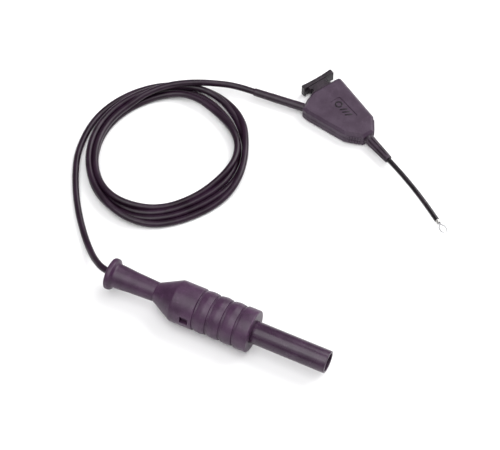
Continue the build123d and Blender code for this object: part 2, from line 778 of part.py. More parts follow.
leaf_start = pin_root_end + slide_gap
leaf_stop = waist_end - slide_gap
leaf_base = pin_waist_radius + touch_gap
with BuildPart() as pin_lamella:
    bow_start = leaf_start + leaf_end
    bow_middle = (leaf_start + leaf_stop) / 2
    bow_stop = leaf_stop - leaf_end
    top = leaf_base + leaf_thick
    with BuildSketch(plug_section):
        with BuildLine():
            Line((leaf_start, leaf_base), (bow_start, leaf_base))
            ThreePointArc(
                (bow_start, leaf_base), (bow_middle, leaf_base + leaf_swell), (bow_stop, leaf_base)
            )
            Polyline((bow_stop, leaf_base), (leaf_stop, leaf_base), (leaf_stop, top), (bow_stop, top))
            ThreePointArc((bow_stop, top), (bow_middle, top + leaf_swell), (bow_start, top))
            Polyline((bow_start, top), (leaf_start, top), (leaf_start, leaf_base))
        make_face()
    revolve(axis=plug_axis)
    for slot in range(leaf_count // 2):
        with BuildSketch(plug_section.rotated((360 * slot / leaf_count, 0, 0))):
            with Locations((bow_middle, 0)):
                Rectangle(bow_stop - bow_start - leaf_end, 4 * pin_radius)
        extrude(amount=leaf_slot / 2, both=True, mode=Mode.SUBTRACT)
pin_lamella.part.label = "pin_lamella"

with BuildPart() as cord_clamp_ring:
    clamp_start = neck_at + spigot_length + fit_gap
    clamp_end = cone_end - fit_gap
    turned([
        (clamp_start, cord_radius + fit_gap), (clamp_start, spigot_radius),
        (clamp_end, spigot_radius), (clamp_end, cord_radius + fit_gap),
    ])
cord_clamp_ring.part.label = "cord_clamp_ring"

jacket_end = barrel_start - conductor_bare
with BuildPart() as plug_cord_end:
    with BuildSketch(Plane(origin=plug_point(trumpet_depth), z_dir=plug_out)):
        Circle(cord_radius)
    extrude(amount=jacket_end - trumpet_depth)
plug_cord_end.part.label = "plug_cord_end"

with BuildPart() as plug_conductor:
    with BuildSketch(Plane(origin=plug_point(jacket_end), z_dir=plug_out)):
        Circle(conductor_radius)
    extrude(amount=conductor_bare + barrel_bore_depth - conductor_radius)
plug_conductor.part.label = "plug_conductor"

# ---------------------------------------------------------------- write every piece
pieces = [
    clip_top_shell, clip_bottom_shell, nose_collar, stem_tube, tip_ferrule,
    plunger, wire_anchor, return_spring, drive_wire, contact_strip,
    jaw_crimp, jaw_left, jaw_right,
    cord_boot, clip_cord_end, clip_conductor,
    cord_clip_lead, cord_coil, cord_plug_lead,
    strain_relief, plug_grip, pin_carrier, plug_shroud, contact_pin, pin_lamella,
    cord_clamp_ring, plug_cord_end, plug_conductor,
]
os.makedirs("parts", exist_ok=True)
for piece in pieces:
    export_step(piece.part, f"parts/{piece.part.label}.step")
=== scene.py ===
"""The looks of a test lead: a flat micro clip, a limp coiled cord and a shrouded plug.

Everything is in metres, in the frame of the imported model: the clip's underside lies on
Z = 0, and +X runs along the clip towards its jaws.
"""
import json
from math import cos, pi, radians, sin, tan

import bmesh
import bpy
from mathutils import Matrix, Vector


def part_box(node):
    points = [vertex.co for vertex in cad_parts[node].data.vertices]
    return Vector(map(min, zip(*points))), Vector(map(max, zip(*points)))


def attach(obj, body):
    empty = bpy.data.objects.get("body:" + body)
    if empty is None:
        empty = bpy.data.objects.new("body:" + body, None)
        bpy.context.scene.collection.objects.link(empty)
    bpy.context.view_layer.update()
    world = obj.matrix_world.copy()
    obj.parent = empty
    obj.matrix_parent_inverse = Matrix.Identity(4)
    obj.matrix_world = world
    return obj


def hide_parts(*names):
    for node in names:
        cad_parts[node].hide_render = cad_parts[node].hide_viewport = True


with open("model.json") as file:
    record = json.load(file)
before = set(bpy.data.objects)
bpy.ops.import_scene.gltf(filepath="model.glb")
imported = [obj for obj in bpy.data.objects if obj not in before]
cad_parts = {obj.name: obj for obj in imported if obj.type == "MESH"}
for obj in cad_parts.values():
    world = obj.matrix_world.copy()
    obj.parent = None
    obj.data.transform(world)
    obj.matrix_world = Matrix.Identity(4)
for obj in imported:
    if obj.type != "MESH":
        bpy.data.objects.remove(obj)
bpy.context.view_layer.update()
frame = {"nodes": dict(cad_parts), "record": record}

mm = 0.001

# ------------------------------------------------------------------ table, light and camera
# The lead lies on a plain white table under broad, soft studio light that comes from above
# and from the right, so that its shadows are faint and fall to the left.
lens = 122.5                    # on a sensor 36 mm wide
looks_at = Vector((18.05, -55.88, 0)) * mm
stands_at = Vector((289.5, -253.1, 497.4)) * mm
nearest_seen = 0.01
across = Vector((0.5878, 0.8090, 0))        # to the viewer's right
away = Vector((-0.8090, 0.5878, 0))         # straight away from the viewer
lights = (                      # name, size, watts, metres to the right, back and up
    ("key", 0.9, 13.0, 0.65, 0.45, 0.75),
    ("top", 1.0, 11.0, -0.1, -0.3, 1.05),
    ("fill", 0.9, 2.5, -0.4, -0.8, 0.8),
)
room_colour = (1.0, 0.985, 1.0, 1)
room_glow = 0.2
table_size = 3.0
table_white = (0.9, 0.9, 0.905, 1)
table_roughness = 0.9
table_shine = 0.1


def linked(name, data):
    """A mesh, curve, light or camera as an object in the scene."""
    made = bpy.data.objects.new(name, data)
    bpy.context.scene.collection.objects.link(made)
    return made


def aimed(thing, place):
    """Puts a camera or light at a place and turns it towards the object."""
    thing.location = place
    thing.rotation_euler = (looks_at - place).to_track_quat("-Z", "Y").to_euler()


camera = linked("camera", bpy.data.cameras.new("camera"))
camera.data.lens = lens
camera.data.clip_start = nearest_seen
aimed(camera, stands_at)
bpy.context.scene.camera = camera
bpy.context.scene.view_settings.view_transform = "Standard"

for name, light_size, power, right, back, up in lights:
    data = bpy.data.lights.new(name, "AREA")
    data.size = light_size
    data.energy = power
    aimed(linked(name, data), looks_at + across * right + away * back + Vector((0, 0, up)))

world = bpy.data.worlds.new("studio")
world.use_nodes = True
world.node_tree.nodes["Background"].inputs["Color"].default_value = room_colour
world.node_tree.nodes["Background"].inputs["Strength"].default_value = room_glow
bpy.context.scene.world = world

table_shape = bmesh.new()
bmesh.ops.create_grid(table_shape, x_segments=1, y_segments=1, size=table_size / 2)
table_mesh = bpy.data.meshes.new("table")
table_shape.to_mesh(table_mesh)
table_shape.free()
table = linked("table", table_mesh)
paper = bpy.data.materials.new("white_table")
paper.use_nodes = True
paper_shader = paper.node_tree.nodes["Principled BSDF"]
paper_shader.inputs["Base Color"].default_value = table_white
paper_shader.inputs["Roughness"].default_value = table_roughness
paper_shader.inputs["Specular IOR Level"].default_value = table_shine
table_mesh.materials.append(paper)


# ------------------------------------------------------------------ cord
# A limp single-core lead in a soft extruded jacket, 2.4 mm thick.  It leaves the clip's
# boot, climbs over the coil, makes a little over four turns, whose strands lie side by side
# at the front and on top of each other elsewhere, and runs along the table to the plug.
class Value:
    """One socket in a material's tree; arithmetic on it adds Math nodes."""

    def __init__(self, tree, socket=None):
        self.tree = tree
        self.socket = socket

    def node(self, kind, settings=None, inputs=None, output=0):
        """Any node: its settings first, then the values or links of its sockets."""
        made = self.tree.nodes.new(kind)
        for name, setting in (settings or {}).items():
            setattr(made, name, setting)
        for name, given in (inputs or {}).items():
            if isinstance(given, Value):
                self.tree.links.new(given.socket, made.inputs[name])
            else:
                made.inputs[name].default_value = given
        return Value(self.tree, made.outputs[output])

    def math(self, operation, first, second=0.0):
        return self.node("ShaderNodeMath", {"operation": operation}, {0: first, 1: second})

    def __add__(self, other):
        return self.math("ADD", self, other)

    def __sub__(self, other):
        return self.math("SUBTRACT", self, other)

    def __rsub__(self, other):
        return self.math("SUBTRACT", other, self)

    def __mul__(self, other):
        return self.math("MULTIPLY", self, other)

    __radd__ = __add__
    __rmul__ = __mul__

    def between(self, low, high):
        """0 below low, 1 above high and a smooth rise between them."""
        return self.node(
            "ShaderNodeMapRange",
            {"interpolation_type": "SMOOTHSTEP"},
            {"Value": self, "From Min": low, "From Max": high},
        )

    def blend(self, first, second):
        """A colour: first where this value is 0, second where it is 1."""
        mixed = self.tree.nodes.new("ShaderNodeMix")
        mixed.data_type = "RGBA"
        self.tree.links.new(self.socket, mixed.inputs[0])
        for socket, given in ((mixed.inputs[6], first), (mixed.inputs[7], second)):
            if isinstance(given, Value):
                self.tree.links.new(given.socket, socket)
            else:
                socket.default_value = (*given, 1)
        return Value(self.tree, mixed.outputs[2])


def finish(name, **constants):
    """A new material, its shader with the constants set, and a Value to grow its tree from."""
    made = bpy.data.materials.new(name)
    made.use_nodes = True
    shader = made.node_tree.nodes["Principled BSDF"]
    for socket, given in constants.items():
        shader.inputs[socket.replace("_", " ")].default_value = given
    return made, shader, Value(made.node_tree)


def feed(shader, socket, value):
    """Links a value to one of the shader's sockets."""
    value.tree.links.new(value.socket, shader.inputs[socket])


def noise(grow, scale, detail=3.0, stretch=(1, 1, 1), roughness=0.5):
    """Noise over the piece's own coordinates, `scale` features to the metre."""
    place = grow.node("ShaderNodeTexCoord", output="Object")
    mapped = grow.node("ShaderNodeMapping", {}, {"Vector": place, "Scale": stretch})
    return grow.node(
        "ShaderNodeTexNoise",
        {},
        {"Vector": mapped, "Scale": scale, "Detail": detail, "Roughness": roughness},
    )


def bumped(grow, shader, height, strength, distance):
    """Gives the shader a bump from a height, `distance` metres deep."""
    bump = grow.node(
        "ShaderNodeBump", {}, {"Height": height, "Strength": strength, "Distance": distance}
    )
    feed(shader, "Normal", bump)


cloud_scale = 180               # features to the metre
rubbed_scale = 420
rubbed_gain = 1.8               # a rubbed patch against the pale colour
rubbed_lift = 0.006


def plastic(name, dark, pale, gloss, grain, grain_depth, rub, shine):
    """A moulded or extruded plastic: mottled colour, fine grain and rubbed, shinier patches.

    `grain` is the grain's features to the metre, `rub` how far the rubbed patches go paler
    and `shine` the specular level.
    """
    made, shader, grow = finish(name, Specular_IOR_Level=shine)
    cloud = noise(grow, cloud_scale, 4.0)
    speck = noise(grow, grain, 2.0)
    rubbed = noise(grow, rubbed_scale, 5.0, roughness=0.65).between(0.52, 0.75)
    colour = (cloud * 0.7 + speck * 0.3).between(0.35, 0.68).blend(dark, pale)
    rubbed_colour = tuple(rubbed_gain * part + rubbed_lift for part in pale)
    scuffed = (rubbed * rub).blend(colour, rubbed_colour)
    feed(shader, "Base Color", scuffed)
    feed(shader, "Roughness", gloss + 0.1 * (speck - 0.5) - 0.08 * rubbed)
    bumped(grow, shader, speck, 0.5, grain_depth)
    return made


cord_radius = 1.2 * mm
strand_pitch = 2.45 * mm
coil_centre = Vector((-24.5, -62.4, 0)) * mm
coil_radius = 27.3 * mm
coil_waves = (                  # waves to the turn, how far out they go, phase in degrees
    (2, 1.6 * mm, 207.5), (3, 0.44 * mm, 134.0), (4, 0.33 * mm, 125.0),
)
coil_start = 178.0              # degrees, counted on from turn to turn
coil_end = 1652.0
coil_step = 15.0                # so 24 points to the turn
lane_moves = (470, 810, 1150, 1490)         # where each move to the next lane begins
lane_move_length = 60
flat_stretches = ((1.3, 342, 75), (0.6, 100, 42))       # weight, middle and half the length
sway = 0.2 * mm                 # how far the strands wander, less and less in the outer lanes
sway_rate = 1.31
sway_phase = 40
drift = 1.2 * mm                # the last turn eases outwards before it leaves
drift_start = 1560              # degrees, as is its length
drift_length = 95
clip_route = (
    (-27.56, -20.80, 2.9), (-33.2, -24.4, 3.3), (-38.3, -30.9, 4.6),
    (-43.0, -38.4, 5.9), (-47.0, -46.6, 6.1), (-49.2, -54.8, 4.9),
)
plug_route = (
    (-44.2, -87.7, 1.2), (-37.4, -93.2, 1.2), (-29.3, -98.3, 1.2), (-20.6, -102.6, 1.2),
    (-11.9, -105.9, 1.3), (-5.2, -107.9, 2.1), (1.2, -109.5, 4.6), (8.21, -109.93, 7.4),
    (14.36, -106.58, 7.4),
)


def swell(angle, centre, half):
    """1 at the centre of a stretch of the coil, falling smoothly to 0 at its ends."""
    off = abs((angle - centre + 180) % 360 - 180) / half
    return 0.0 if off >= 1 else cos(off * pi / 2) ** 2


def ease(share):
    """A smooth rise from 0 to 1."""
    share = min(1.0, max(0.0, share))
    return share * share * (3 - 2 * share)


def lane_place(lane, angle):
    """How far outwards and how high a lane lies; strands stack up where they aren't flat."""
    flat = min(1.0, sum(weight * swell(angle, at, half) for weight, at, half in flat_stretches))
    tilt = (1 - flat) * pi / 2
    aside = strand_pitch * cos(tilt)
    height = cord_radius + strand_pitch * sin(tilt)
    half = strand_pitch / 2
    lanes = (
        (-half - aside, height),
        (-half, cord_radius),
        (half, cord_radius),
        (half + aside, height),
        (3 * half, cord_radius),
    )
    low = min(int(lane), len(lanes) - 2)
    share = lane - low
    return [a + share * (b - a) for a, b in zip(lanes[low], lanes[low + 1])]


def coil_turns():
    """The coil's points; each turn moves outwards by one lane behind."""
    points = []
    steps = round((coil_end - coil_start) / coil_step)
    for step in range(steps + 1):
        angle = coil_start + (coil_end - coil_start) * step / steps
        lane = sum(ease((angle - start) / lane_move_length) for start in lane_moves)
        outwards, height = lane_place(lane, angle)
        radius = coil_radius + sum(a * cos(radians(n * angle - at)) for n, a, at in coil_waves)
        calm = 1 - 0.5 * lane / len(lane_moves)
        loose = sway * sin(radians(angle * sway_rate + sway_phase)) * calm
        loose += drift * ease((angle - drift_start) / drift_length)
        ray = Vector((cos(radians(angle)), sin(radians(angle)), 0))
        points.append(coil_centre + ray * (radius + outwards + loose) + Vector((0, 0, height)))
    return points


route = [Vector(p) * mm for p in clip_route] + coil_turns() + [Vector(p) * mm for p in plug_route]
cord_data = bpy.data.curves.new("cord_jacket", "CURVE")
cord_data.dimensions = "3D"
cord_data.bevel_depth = cord_radius
cord_data.bevel_resolution = 6
cord_data.use_fill_caps = True
spline = cord_data.splines.new("NURBS")
spline.points.add(len(route) - 1)
for point, place in zip(spline.points, route):
    point.co = (*place, 1)
spline.order_u = 3
spline.use_endpoint_u = True
spline.resolution_u = 8
spline.use_smooth = True
cord = linked("cord_jacket", cord_data)

jacket = plastic(
    "cord_jacket_pvc", (0.009, 0.002, 0.008), (0.022, 0.008, 0.021),
    gloss=0.36, grain=2600, grain_depth=0.02 * mm, rub=0.2, shine=0.3,
)
cord_data.materials.append(jacket)
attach(cord, "test_lead")
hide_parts("cord_clip_lead", "cord_coil", "cord_plug_lead")

# ------------------------------------------------------------------ plug: shared measures
# The plug's pieces are turned shapes on one axis.  Its direction and a point on it come from
# the mount at its shroud, and each piece's ends from the nodes of the frame.
shroud_mount = next(m for m in frame["record"]["mounts"] if m["name"] == "plug_shroud_outside")
plug_out = Vector(shroud_mount["axis"]).normalized()
plug_place = Vector(shroud_mount["pos_m"])
plug_side = plug_out.cross(Vector((0, 0, 1)))


def along(node):
    """The two ends of a plug node, measured along the plug's axis."""
    spots = [(v.co - plug_place).dot(plug_out) for v in frame["nodes"][node].data.vertices]
    return min(spots), max(spots)


def rounded(points, steps=5):
    """A closed outline from (x, y, corner radius) points, its corners turned to arcs."""
    smooth = []
    for at, (x, y, radius) in enumerate(points):
        corner = Vector((x, y))
        back = Vector(points[at - 1][:2]) - corner
        ahead = Vector(points[(at + 1) % len(points)][:2]) - corner
        if radius <= 0:
            smooth.append(corner)
            continue
        half = back.angle(ahead) / 2
        cut = min(radius / tan(half), 0.48 * min(back.length, ahead.length))
        first = corner + back.normalized() * cut
        last = corner + ahead.normalized() * cut
        for step in range(steps + 1):
            share = step / steps
            smooth.append(
                first * (1 - share) ** 2 + corner * 2 * share * (1 - share) + last * share**2
            )
    return smooth


def turned(name, outline, axis_point, axis_out, segments=96):
    """Spins a closed outline of (along, radius) points round an axis into one mesh."""
    out = axis_out.normalized()
    side = out.orthogonal().normalized()
    up = side.cross(out)
    shape = bmesh.new()
    rings = []
    for turn in range(segments):
        angle = 2 * pi * turn / segments
        ray = side * cos(angle) + up * sin(angle)
        rings.append([shape.verts.new(axis_point + out * p[0] + ray * p[1]) for p in outline])
    for turn, ring in enumerate(rings):
        other = rings[(turn + 1) % segments]
        for at in range(len(ring)):
            after = (at + 1) % len(ring)
            shape.faces.new((ring[at], ring[after], other[after], other[at]))
    bmesh.ops.remove_doubles(shape, verts=shape.verts, dist=1e-7)
    bmesh.ops.recalc_face_normals(shape, faces=shape.faces)
    mesh = bpy.data.meshes.new(name)
    shape.to_mesh(mesh)
    shape.free()
    smoothed(mesh)
    return linked(name, mesh)


def smoothed(mesh, sharp=32):
    """Smooth shading, with edges over `sharp` degrees kept crisp."""
    mesh.polygons.foreach_set("use_smooth", [True] * len(mesh.polygons))
    mesh.set_sharp_from_angle(angle=radians(sharp))


def applied(piece):
    """The piece with its modifiers turned into plain mesh."""
    bpy.context.view_layer.update()
    seen = piece.evaluated_get(bpy.context.evaluated_depsgraph_get())
    mesh = bpy.data.meshes.new_from_object(seen)
    mesh.name = piece.name
    piece.modifiers.clear()
    piece.data = mesh
    return piece


# ------------------------------------------------------------------ plug: sleeve
# A bend-relief sleeve moulded in soft rubber: a rounded lip flares at its mouth, where the
# cord goes in, and it narrows slightly towards the grip, into which its spigot is pushed.
lip_radius = 5.6 * mm
lip_width = 1.9 * mm
lip_round = 0.85 * mm
sleeve_big_radius = 4.35 * mm
sleeve_neck_radius = 3.45 * mm
sleeve_length = 17.9 * mm
sleeve_bore = 1.25 * mm
trumpet_radius = 4.2 * mm
trumpet_throat = 2.3 * mm
trumpet_neck = 2.2 * mm
trumpet_depth = 5.0 * mm
spigot_radius = 3.0 * mm

lip, spigot_end = along("strain_relief")
neck = lip + sleeve_length
sleeve_outline = rounded([
    (lip, lip_radius, lip_round),
    (lip + lip_width, lip_radius, lip_round),
    (lip + lip_width + 0.5 * mm, sleeve_big_radius, 1.2 * mm),
    (lip + sleeve_length / 2, (sleeve_big_radius + sleeve_neck_radius) / 2 - 0.05 * mm, 8 * mm),
    (neck, sleeve_neck_radius, 0.15 * mm),
    (neck, spigot_radius, 0.1 * mm),
    (spigot_end, spigot_radius, 0.3 * mm),
    (spigot_end, sleeve_bore, 0.1 * mm),
    (lip + trumpet_depth, sleeve_bore, 1.0 * mm),
    (lip + trumpet_neck, trumpet_throat, 1.0 * mm),
    (lip, trumpet_radius, 0.3 * mm),
])
sleeve = turned("plug_sleeve", sleeve_outline, plug_place, plug_out)
sleeve_rubber = plastic(
    "sleeve_soft_rubber", (0.028, 0.008, 0.028), (0.048, 0.018, 0.048),
    gloss=0.42, grain=1900, grain_depth=0.03 * mm, rub=0.3, shine=0.4,
)
sleeve.data.materials.append(sleeve_rubber)
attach(sleeve, "test_lead")
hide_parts("strain_relief")

# ------------------------------------------------------------------ plug: grip
# The moulded handle: a cone from the sleeve, a plain drum with the latch window, three
# crowned finger rings between narrow grooves, and a wider ring at its front.
grip_radius = 7.4 * mm
cone_length = 7.8 * mm
groove_count = 4
groove_pitch = 4.9 * mm
groove_width = 0.8 * mm
groove_depth = 0.65 * mm
last_ring = 5.1 * mm
ring_crown = 0.04 * mm
ring_shoulder = 0.24 * mm       # how far a finger ring's edges lie under the grip's radius
ring_root = 0.3 * mm            # how deep a finger ring goes into the core
window_length = 3.0 * mm
window_width = 2.6 * mm
window_rise = 11.0              # degrees above level
window_back = 4.3 * mm          # from the cone to the window
window_floor = 2.0 * mm         # from the axis
window_round = 0.25 * mm
carrier_hole = 3.65 * mm
sleeve_hole = 3.05 * mm

grip_front = along("plug_grip")[1]
cone_end = neck + cone_length
core_radius = grip_radius - groove_depth
first_groove = grip_front - last_ring - (groove_count - 1) * groove_pitch - groove_width / 2
ring_start = first_groove + groove_width
ring_width = groove_pitch - groove_width
ring_stop = first_groove + (groove_count - 1) * groove_pitch
grip_outline = rounded([
    (neck, sleeve_neck_radius, 0.2 * mm),
    (cone_end, grip_radius, 1.6 * mm),
    (first_groove, grip_radius, 0.35 * mm),
    (first_groove + 0.1 * mm, core_radius, 0.1 * mm),
    (ring_stop + groove_width - 0.1 * mm, core_radius, 0.1 * mm),
    (ring_stop + groove_width, grip_radius, 0.35 * mm),
    ((ring_stop + groove_width + grip_front) / 2, grip_radius + ring_crown, 4 * mm),
    (grip_front, grip_radius, 0.5 * mm),
    (grip_front, carrier_hole, 0.15 * mm),
    (cone_end, carrier_hole, 0.1 * mm),
    (cone_end, sleeve_hole, 0.1 * mm),
    (neck, sleeve_hole, 0.1 * mm),
])
grip = turned("plug_grip_body", grip_outline, plug_place, plug_out, segments=128)
ring_outline = rounded([
    (0, core_radius - ring_root, 0),
    (0, grip_radius - ring_shoulder, 0.3 * mm),
    (ring_width / 2, grip_radius + ring_crown, 3 * mm),
    (ring_width, grip_radius - ring_shoulder, 0.3 * mm),
    (ring_width, core_radius - ring_root, 0),
])
finger_ring = turned("finger_ring", ring_outline, plug_place, plug_out, segments=128)


class Tree:
    """A Geometry Nodes tree being built, with named inputs and one geometry output."""

    def __init__(self, name):
        self.tree = bpy.data.node_groups.new(name, "GeometryNodeTree")
        face = self.tree.interface
        face.new_socket("Geometry", in_out="INPUT", socket_type="NodeSocketGeometry")
        face.new_socket("Geometry", in_out="OUTPUT", socket_type="NodeSocketGeometry")
        self.entry = self.tree.nodes.new("NodeGroupInput")
        self.names = {}

    def size(self, name, kind="NodeSocketFloat"):
        """A named input, as a Value."""
        made = self.tree.interface.new_socket(name, in_out="INPUT", socket_type=kind)
        self.names[name] = made.identifier
        return Value(self.tree, self.entry.outputs[name])

    def geometry(self):
        return Value(self.tree, self.entry.outputs["Geometry"])

    def closed(self, last, material):
        """Ends the tree in real geometry with its material."""
        real = last.node("GeometryNodeRealizeInstances", {}, {"Geometry": last})
        coloured = last.node(
            "GeometryNodeSetMaterial", {}, {"Geometry": real, "Material": material}
        )
        way_out = self.tree.nodes.new("NodeGroupOutput")
        self.tree.links.new(coloured.socket, way_out.inputs["Geometry"])

    def run(self, piece, **sizes):
        """Runs the tree on a piece and leaves plain mesh."""
        grown = piece.modifiers.new(self.tree.name, "NODES")
        grown.node_group = self.tree
        for name, given in sizes.items():
            grown[self.names[name]] = given
        return applied(piece)


grip_plastic = plastic(
    "grip_moulded_plastic", (0.034, 0.011, 0.034), (0.060, 0.025, 0.060),
    gloss=0.42, grain=2400, grain_depth=0.04 * mm, rub=0.35, shine=0.4,
)
ring_row = Tree("ring_row")
row_start = ring_row.size("start", "NodeSocketVector")
row_step = ring_row.size("step", "NodeSocketVector")
row_count = ring_row.size("count", "NodeSocketInt")
row_line = row_start.node(
    "GeometryNodeMeshLine", {"mode": "OFFSET"},
    {"Count": row_count, "Start Location": row_start, "Offset": row_step},
)
row_rings = row_line.node(
    "GeometryNodeInstanceOnPoints", {}, {"Points": row_line, "Instance": ring_row.geometry()}
)
ring_row.closed(row_rings, grip_plastic)
ring_row.run(
    finger_ring, start=plug_out * ring_start, step=plug_out * groove_pitch, count=groove_count - 1
)

window_out = plug_side * cos(radians(window_rise)) + Vector((0, 0, sin(radians(window_rise))))
window_middle = cone_end + window_back + window_length / 2
window_turn = Matrix((plug_out, window_out.cross(plug_out), window_out)).transposed().to_4x4()
punch = bmesh.new()
bmesh.ops.create_cube(punch, size=1)
bmesh.ops.transform(
    punch,
    matrix=Matrix.Translation(plug_place + plug_out * window_middle + window_out * grip_radius)
    @ window_turn
    @ Matrix.Diagonal((window_length, window_width, 2 * (grip_radius - window_floor), 1)),
    verts=punch.verts,
)
bmesh.ops.bevel(
    punch, geom=punch.edges[:], offset=window_round, segments=3, affect="EDGES", profile=0.5
)
punch_mesh = bpy.data.meshes.new("window_punch")
punch.to_mesh(punch_mesh)
punch.free()
window_punch = linked("window_punch", punch_mesh)
cut = grip.modifiers.new("window", "BOOLEAN")
cut.operation = "DIFFERENCE"
cut.object = window_punch
applied(grip)
bpy.data.objects.remove(window_punch)
smoothed(grip.data)
grip.data.materials.clear()
grip.data.materials.append(grip_plastic)
for piece in (grip, finger_ring):
    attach(piece, "test_lead")
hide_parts("plug_grip")
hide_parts("plug_grip")

# ------------------------------------------------------------------ plug: shroud
# The insulating tube round the pin, moulded smooth, with a rounded rim at its mouth.
shroud_radius = shroud_mount["dims"]["r_mm"] * mm
shroud_bore = 3.2 * mm
shroud_back, shroud_front = along("plug_shroud")
shroud_outline = rounded([
    (shroud_back, shroud_radius, 0.1 * mm),
    (shroud_front, shroud_radius, 0.28 * mm),
    (shroud_front, shroud_bore, 0.2 * mm),
    (shroud_back, shroud_bore, 0.1 * mm),
])
shroud = turned("plug_shroud_tube", shroud_outline, plug_place, plug_out)
shroud_plastic = plastic(
    "shroud_smooth_plastic", (0.024, 0.008, 0.024), (0.042, 0.018, 0.042),
    gloss=0.30, grain=2200, grain_depth=0.01 * mm, rub=0.3, shine=0.4,
)
shroud.data.materials.append(shroud_plastic)
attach(shroud, "test_lead")
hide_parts("plug_shroud")

# ------------------------------------------------------------------ clip: housing
# Two moulded half shells, pressed together on pegs.  Their outside edges are rounded by the
# mould and the parting line runs round the middle.
edge_round = 0.07 * mm
joined_within = 0.002 * mm
flat_within = 0.6               # degrees
edge_from = 30


def softened(name, node, width):
    """A copy of a CAD node with its loose triangles joined and its edges rounded."""
    shape = bmesh.new()
    shape.from_mesh(frame["nodes"][node].data)
    bmesh.ops.remove_doubles(shape, verts=shape.verts, dist=joined_within)
    bmesh.ops.dissolve_limit(
        shape, angle_limit=radians(flat_within), verts=shape.verts, edges=shape.edges
    )
    mesh = bpy.data.meshes.new(name)
    shape.to_mesh(mesh)
    shape.free()
    piece = linked(name, mesh)
    rounding = piece.modifiers.new("rounding", "BEVEL")
    rounding.width = width
    rounding.segments = 3
    rounding.limit_method = "ANGLE"
    rounding.angle_limit = radians(edge_from)
    applied(piece)
    smoothed(piece.data, 38)
    evened = piece.modifiers.new("even_faces", "WEIGHTED_NORMAL")
    evened.keep_sharp = True
    applied(piece)
    piece.data.materials.clear()
    return piece


clip_plastic = plastic(
    "clip_satin_plastic", (0.033, 0.016, 0.034), (0.054, 0.033, 0.056),
    gloss=0.48, grain=3000, grain_depth=0.03 * mm, rub=0.25, shine=0.35,
)
top_shell = softened("clip_top_cover", "clip_top_shell", edge_round)
bottom_shell = softened("clip_bottom_cover", "clip_bottom_shell", edge_round)
for piece, node in ((top_shell, "clip_top_shell"), (bottom_shell, "clip_bottom_shell")):
    piece.data.materials.append(clip_plastic)
    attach(piece, "test_lead")
    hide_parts(node)

# ------------------------------------------------------------------ clip: marks on its panel
# The sunk panel on the top carries plain raised marks from the mould: a ring and a row of
# slanted bars.  They carry no meaning.  Their near-black colour, far darker than the housing
# round them, is painted shade.
panel_depth = 0.25 * mm
panel_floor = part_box("clip_top_shell")[1].z - panel_depth
mark_height = 0.16 * mm
mark_line = 0.55 * mm
ring_mark_radius = 1.45 * mm
ring_mark_root = 0.05 * mm
ring_mark_round = 0.08 * mm
ring_mark_place = Vector((-2.9 * mm, -0.45 * mm, panel_floor))
bar_mark_start = Vector((-0.1 * mm, -0.45 * mm, panel_floor))
bar_mark_step = Vector((1.5 * mm, 0, 0))
bar_mark_count = 3
bar_mark_length = 2.7 * mm
bar_mark_root = 0.06 * mm       # how deep a bar goes into the panel's floor
bar_mark_round = 0.07 * mm
bar_mark_slant = 62.0           # degrees from the clip's length

# Painted shade: the raised marks are coloured near black, for the shade that falls round them.
mark_shade_plastic = plastic(
    "mark_painted_shade_plastic", (0.006, 0.003, 0.006), (0.014, 0.008, 0.014),
    gloss=0.35, grain=1500, grain_depth=0.02 * mm, rub=0.2, shine=0.35,
)
ring_mark = turned(
    "panel_ring_mark",
    rounded([
        (-ring_mark_root, ring_mark_radius - mark_line, 0),
        (mark_height, ring_mark_radius - mark_line, ring_mark_round),
        (mark_height, ring_mark_radius, ring_mark_round),
        (-ring_mark_root, ring_mark_radius, 0),
    ]),
    ring_mark_place, Vector((0, 0, 1)), segments=48,
)
bar = bmesh.new()
bmesh.ops.create_cube(bar, size=1)
bmesh.ops.transform(
    bar,
    matrix=Matrix.Translation(Vector((0, 0, (mark_height - bar_mark_root) / 2)))
    @ Matrix.Rotation(radians(bar_mark_slant), 4, "Z")
    @ Matrix.Diagonal((bar_mark_length, mark_line, mark_height + bar_mark_root, 1)),
    verts=bar.verts,
)
bmesh.ops.bevel(
    bar, geom=bar.edges[:], offset=bar_mark_round, segments=3, affect="EDGES", profile=0.5
)
bar_mesh = bpy.data.meshes.new("panel_bar_marks")
bar.to_mesh(bar_mesh)
bar.free()
bar_marks = linked("panel_bar_marks", bar_mesh)
mark_row = Tree("mark_row")
mark_start = mark_row.size("start", "NodeSocketVector")
mark_step = mark_row.size("step", "NodeSocketVector")
mark_count = mark_row.size("count", "NodeSocketInt")
mark_points = mark_start.node(
    "GeometryNodeMeshLine", {"mode": "OFFSET"},
    {"Count": mark_count, "Start Location": mark_start, "Offset": mark_step},
)
marks = mark_points.node(
    "GeometryNodeInstanceOnPoints", {}, {"Points": mark_points, "Instance": mark_row.geometry()}
)
mark_row.closed(marks, mark_shade_plastic)
mark_row.run(bar_marks, start=bar_mark_start, step=bar_mark_step, count=bar_mark_count)
smoothed(bar_marks.data)
ring_mark.data.materials.append(mark_shade_plastic)
for piece in (ring_mark, bar_marks):
    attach(piece, "test_lead")

# ------------------------------------------------------------------ clip: thumb bar
# The plunger is one hard moulding: a dished bar for the thumb on a flat neck that slides in
# the housing.  Its pressed faces are spark-roughened, and worn a little in patches.
bar_edge_round = 0.22 * mm

plunger = softened("thumb_plunger", "plunger", bar_edge_round)
bar_plastic = plastic(
    "thumb_bar_hard_plastic", (0.005, 0.002, 0.005), (0.024, 0.015, 0.023),
    gloss=0.40, grain=1300, grain_depth=0.12 * mm, rub=0.9, shine=0.4,
)
plunger.data.materials.append(bar_plastic)
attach(plunger, "plunger")
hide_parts("plunger")

